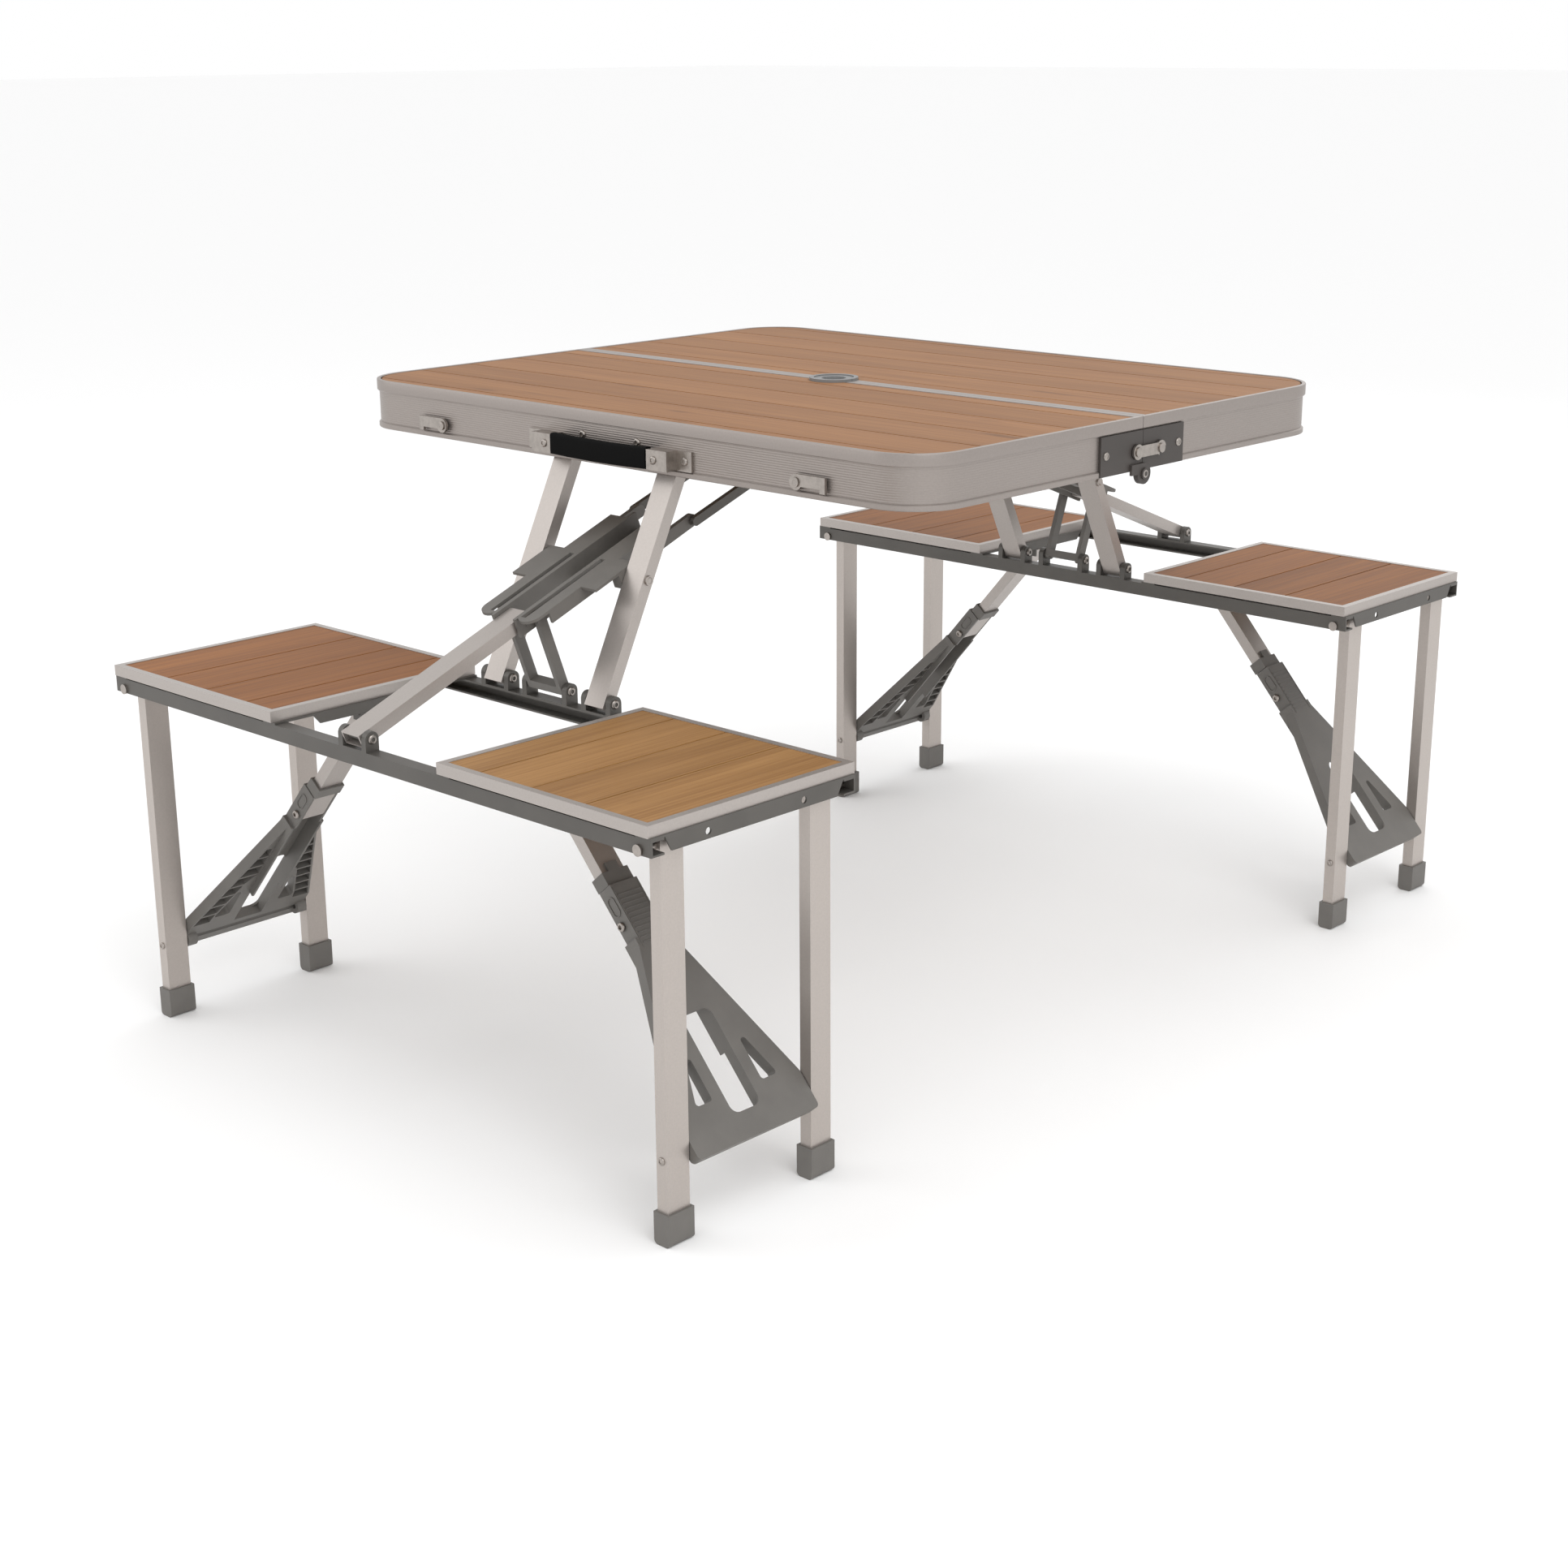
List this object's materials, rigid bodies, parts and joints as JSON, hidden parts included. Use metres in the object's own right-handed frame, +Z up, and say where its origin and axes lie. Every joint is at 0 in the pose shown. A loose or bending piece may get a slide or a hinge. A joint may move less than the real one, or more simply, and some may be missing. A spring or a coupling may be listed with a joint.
{
  "type": "folding picnic table",
  "caption": "Folding camping table: a two-part case top with wooden boards, two swing-out benches with plank seats, braced tube legs and a parasol hole.",
  "frame": {"origin": "on the ground under the centre of the table, where the seam between the halves crosses the middle", "axes": "+X along the seam, +Y across the table towards the rear bench, +Z up; the carrying handle is on the -Y side"},
  "size_m": [0.8714, 1.4008, 0.6925],
  "materials": {
    "wood": "matt bamboo planks",
    "aluminium": "brushed, satin anodised",
    "plastic": "dark grey, moulded",
    "grip": "black",
    "nickel": "nickel plated, satin",
    "dark_steel": "dark grey powder coat"
  },
  "bodies": {
    "rear_table": {"rear_rim": "aluminium", "rear_top_panel": "wood", "rear_parasol_ring": "plastic", "rear_hinge_plates": "dark_steel", "rear_underside_brackets": "dark_steel", "rear_table_screws": "nickel"},
    "front_table": {"front_rim": "aluminium", "front_top_panel": "wood", "front_parasol_ring": "plastic", "front_hinge_plates": "dark_steel", "front_underside_brackets": "dark_steel", "front_table_screws": "nickel", "handle_brackets": "nickel", "handle_grip": "grip"},
    "rear_main_struts": {"rear_main_struts": "aluminium"},
    "rear_bench": {"rear_bench_rails": "dark_steel", "rear_cross_angles": "dark_steel", "rear_pivot_brackets": "plastic", "rear_bench_bolts": "nickel", "rear_seat_frames": "aluminium", "rear_seat_planks": "wood"},
    "rear_centre_strut": {"rear_centre_strut": "aluminium"},
    "rear_slide_bracket": {"rear_slide_bracket": "plastic"},
    "rear_slide_arms": {"rear_slide_arms": "dark_steel"},
    "rear_v_link": {"rear_v_link": "plastic"},
    "rear_right_legs": {"rear_right_leg_pair": "aluminium", "rear_right_feet": "plastic"},
    "rear_right_brace_strut": {"rear_right_brace_strut": "aluminium"},
    "rear_right_brace_plate": {"rear_right_brace_plate": "plastic"},
    "rear_right_brace_collar": {"rear_right_brace_collar": "plastic"},
    "rear_left_legs": {"rear_left_leg_pair": "aluminium", "rear_left_feet": "plastic"},
    "rear_left_brace_strut": {"rear_left_brace_strut": "aluminium"},
    "rear_left_brace_plate": {"rear_left_brace_plate": "plastic"},
    "rear_left_brace_collar": {"rear_left_brace_collar": "plastic"},
    "front_main_struts": {"front_main_struts": "aluminium"},
    "front_bench": {"front_bench_rails": "dark_steel", "front_cross_angles": "dark_steel", "front_pivot_brackets": "plastic", "front_bench_bolts": "nickel", "front_seat_frames": "aluminium", "front_seat_planks": "wood"},
    "front_centre_strut": {"front_centre_strut": "aluminium"},
    "front_slide_bracket": {"front_slide_bracket": "plastic"},
    "front_slide_arms": {"front_slide_arms": "dark_steel"},
    "front_v_link": {"front_v_link": "plastic"},
    "front_right_legs": {"front_right_leg_pair": "aluminium", "front_right_feet": "plastic"},
    "front_right_brace_strut": {"front_right_brace_strut": "aluminium"},
    "front_right_brace_plate": {"front_right_brace_plate": "plastic"},
    "front_right_brace_collar": {"front_right_brace_collar": "plastic"},
    "front_left_legs": {"front_left_leg_pair": "aluminium", "front_left_feet": "plastic"},
    "front_left_brace_strut": {"front_left_brace_strut": "aluminium"},
    "front_left_brace_plate": {"front_left_brace_plate": "plastic"},
    "front_left_brace_collar": {"front_left_brace_collar": "plastic"},
    "left_end_hook": {"left_end_hook": "nickel"},
    "left_case_latch": {"left_case_latch": "nickel"},
    "right_end_hook": {"right_end_hook": "nickel"},
    "right_case_latch": {"right_case_latch": "nickel"}
  },
  "joints": [
    {"name": "centre_fold", "type": "hinge", "parent": "rear_table", "child": "front_table", "pos_m": [0, 0, 0.631], "axis": [1, 0, 0], "range_deg": [0, 60]},
    {"name": "rear_bench_fold", "type": "hinge", "parent": "rear_table", "child": "rear_main_struts", "pos_m": [0, 0.318, 0.668], "axis": [-1, 0, 0], "range_deg": [0, 116.11]},
    {"name": "rear_bench_level", "type": "hinge", "parent": "rear_main_struts", "child": "rear_bench", "pos_m": [0, 0.443, 0.413], "axis": [-1, 0, 0], "range_deg": [-116.13, 0]},
    {"name": "rear_centre_strut_turn", "type": "hinge", "parent": "rear_bench", "child": "rear_centre_strut", "pos_m": [0, 0.69, 0.413], "axis": [-1, 0, 0], "range_deg": [-21.33, 0]},
    {"name": "rear_slide_bracket_turn", "type": "hinge", "parent": "rear_main_struts", "child": "rear_slide_bracket", "pos_m": [0, 0.3849, 0.53152], "axis": [-1, 0, 0], "range_deg": [0, 42.84]},
    {"name": "rear_slide_arms_turn", "type": "hinge", "parent": "rear_table", "child": "rear_slide_arms", "pos_m": [0, 0.0195, 0.661], "axis": [-1, 0, 0], "range_deg": [-22.05, 0]},
    {"name": "rear_v_link_turn", "type": "hinge", "parent": "rear_bench", "child": "rear_v_link", "pos_m": [0, 0.443, 0.415], "axis": [-1, 0, 0], "range_deg": [0, 71.53]},
    {"name": "rear_right_leg_fold", "type": "hinge", "parent": "rear_bench", "child": "rear_right_legs", "pos_m": [0.408, 0.569, 0.389], "axis": [0, 1, 0], "range_deg": [0, 90]},
    {"name": "rear_right_brace_strut_turn", "type": "hinge", "parent": "rear_bench", "child": "rear_right_brace_strut", "pos_m": [0.141, 0.569, 0.389], "axis": [0, 1, 0], "range_deg": [-48.73, 0]},
    {"name": "rear_right_brace_knee", "type": "hinge", "parent": "rear_right_brace_strut", "child": "rear_right_brace_plate", "pos_m": [0.26229, 0.569, 0.2509], "axis": [0, 1, 0], "range_deg": [0, 180.02]},
    {"name": "rear_right_collar_slide", "type": "slide", "parent": "rear_right_brace_strut", "child": "rear_right_brace_collar", "axis": [-0.6599, 0, 0.7514], "range_m": [0, 0.02]},
    {"name": "rear_left_leg_fold", "type": "hinge", "parent": "rear_bench", "child": "rear_left_legs", "pos_m": [-0.408, 0.569, 0.389], "axis": [0, -1, 0], "range_deg": [0, 90]},
    {"name": "rear_left_brace_strut_turn", "type": "hinge", "parent": "rear_bench", "child": "rear_left_brace_strut", "pos_m": [-0.141, 0.569, 0.389], "axis": [0, -1, 0], "range_deg": [-48.73, 0]},
    {"name": "rear_left_brace_knee", "type": "hinge", "parent": "rear_left_brace_strut", "child": "rear_left_brace_plate", "pos_m": [-0.26229, 0.569, 0.2509], "axis": [0, -1, 0], "range_deg": [0, 180.02]},
    {"name": "rear_left_collar_slide", "type": "slide", "parent": "rear_left_brace_strut", "child": "rear_left_brace_collar", "axis": [0.6599, 0, 0.7514], "range_m": [0, 0.02]},
    {"name": "front_bench_fold", "type": "hinge", "parent": "front_table", "child": "front_main_struts", "pos_m": [0, -0.318, 0.668], "axis": [1, 0, 0], "range_deg": [0, 116.11]},
    {"name": "front_bench_level", "type": "hinge", "parent": "front_main_struts", "child": "front_bench", "pos_m": [0, -0.443, 0.413], "axis": [1, 0, 0], "range_deg": [-116.13, 0]},
    {"name": "front_centre_strut_turn", "type": "hinge", "parent": "front_bench", "child": "front_centre_strut", "pos_m": [0, -0.69, 0.413], "axis": [1, 0, 0], "range_deg": [-21.33, 0]},
    {"name": "front_slide_bracket_turn", "type": "hinge", "parent": "front_main_struts", "child": "front_slide_bracket", "pos_m": [0, -0.3849, 0.53152], "axis": [1, 0, 0], "range_deg": [0, 42.84]},
    {"name": "front_slide_arms_turn", "type": "hinge", "parent": "front_table", "child": "front_slide_arms", "pos_m": [0, -0.0195, 0.661], "axis": [1, 0, 0], "range_deg": [-22.05, 0]},
    {"name": "front_v_link_turn", "type": "hinge", "parent": "front_bench", "child": "front_v_link", "pos_m": [0, -0.443, 0.415], "axis": [1, 0, 0], "range_deg": [0, 71.53]},
    {"name": "front_right_leg_fold", "type": "hinge", "parent": "front_bench", "child": "front_right_legs", "pos_m": [0.408, -0.569, 0.389], "axis": [0, 1, 0], "range_deg": [0, 90]},
    {"name": "front_right_brace_strut_turn", "type": "hinge", "parent": "front_bench", "child": "front_right_brace_strut", "pos_m": [0.141, -0.569, 0.389], "axis": [0, 1, 0], "range_deg": [-48.73, 0]},
    {"name": "front_right_brace_knee", "type": "hinge", "parent": "front_right_brace_strut", "child": "front_right_brace_plate", "pos_m": [0.26229, -0.569, 0.2509], "axis": [0, 1, 0], "range_deg": [0, 180.02]},
    {"name": "front_right_collar_slide", "type": "slide", "parent": "front_right_brace_strut", "child": "front_right_brace_collar", "axis": [-0.6599, 0, 0.7514], "range_m": [0, 0.02]},
    {"name": "front_left_leg_fold", "type": "hinge", "parent": "front_bench", "child": "front_left_legs", "pos_m": [-0.408, -0.569, 0.389], "axis": [0, -1, 0], "range_deg": [0, 90]},
    {"name": "front_left_brace_strut_turn", "type": "hinge", "parent": "front_bench", "child": "front_left_brace_strut", "pos_m": [-0.141, -0.569, 0.389], "axis": [0, -1, 0], "range_deg": [-48.73, 0]},
    {"name": "front_left_brace_knee", "type": "hinge", "parent": "front_left_brace_strut", "child": "front_left_brace_plate", "pos_m": [-0.26229, -0.569, 0.2509], "axis": [0, -1, 0], "range_deg": [0, 180.02]},
    {"name": "front_left_collar_slide", "type": "slide", "parent": "front_left_brace_strut", "child": "front_left_brace_collar", "axis": [0.6599, 0, 0.7514], "range_m": [0, 0.02]},
    {"name": "left_end_hook_turn", "type": "hinge", "parent": "front_table", "child": "left_end_hook", "pos_m": [-0.4325, -0.012, 0.6545], "axis": [1, 0, 0], "range_deg": [0, 110]},
    {"name": "left_case_latch_turn", "type": "hinge", "parent": "front_table", "child": "left_case_latch", "pos_m": [-0.272, -0.35, 0.65], "axis": [0, 1, 0], "range_deg": [0, 100]},
    {"name": "right_end_hook_turn", "type": "hinge", "parent": "front_table", "child": "right_end_hook", "pos_m": [0.4325, -0.012, 0.6545], "axis": [1, 0, 0], "range_deg": [0, 110]},
    {"name": "right_case_latch_turn", "type": "hinge", "parent": "front_table", "child": "right_case_latch", "pos_m": [0.272, -0.35, 0.65], "axis": [0, -1, 0], "range_deg": [0, 100]}
  ],
  "couplings": [
    {"joint": "rear_bench_level", "follows": "rear_bench_fold", "ratio": -1},
    {"joint": "rear_centre_strut_turn", "follows": "rear_bench_fold", "ratio": -0.1835},
    {"joint": "rear_slide_bracket_turn", "follows": "rear_bench_fold", "ratio": 0.3688},
    {"joint": "rear_slide_arms_turn", "follows": "rear_bench_fold", "ratio": -0.18973},
    {"joint": "rear_v_link_turn", "follows": "rear_bench_fold", "ratio": 0.61586},
    {"joint": "rear_right_brace_strut_turn", "follows": "rear_right_leg_fold", "ratio": -0.54119},
    {"joint": "rear_right_brace_knee", "follows": "rear_right_leg_fold", "ratio": 2},
    {"joint": "rear_left_brace_strut_turn", "follows": "rear_left_leg_fold", "ratio": -0.54119},
    {"joint": "rear_left_brace_knee", "follows": "rear_left_leg_fold", "ratio": 2},
    {"joint": "front_bench_level", "follows": "front_bench_fold", "ratio": -1},
    {"joint": "front_centre_strut_turn", "follows": "front_bench_fold", "ratio": -0.1835},
    {"joint": "front_slide_bracket_turn", "follows": "front_bench_fold", "ratio": 0.3688},
    {"joint": "front_slide_arms_turn", "follows": "front_bench_fold", "ratio": -0.18973},
    {"joint": "front_v_link_turn", "follows": "front_bench_fold", "ratio": 0.61586},
    {"joint": "front_right_brace_strut_turn", "follows": "front_right_leg_fold", "ratio": -0.54119},
    {"joint": "front_right_brace_knee", "follows": "front_right_leg_fold", "ratio": 2},
    {"joint": "front_left_brace_strut_turn", "follows": "front_left_leg_fold", "ratio": -0.54119},
    {"joint": "front_left_brace_knee", "follows": "front_left_leg_fold", "ratio": 2}
  ]
}
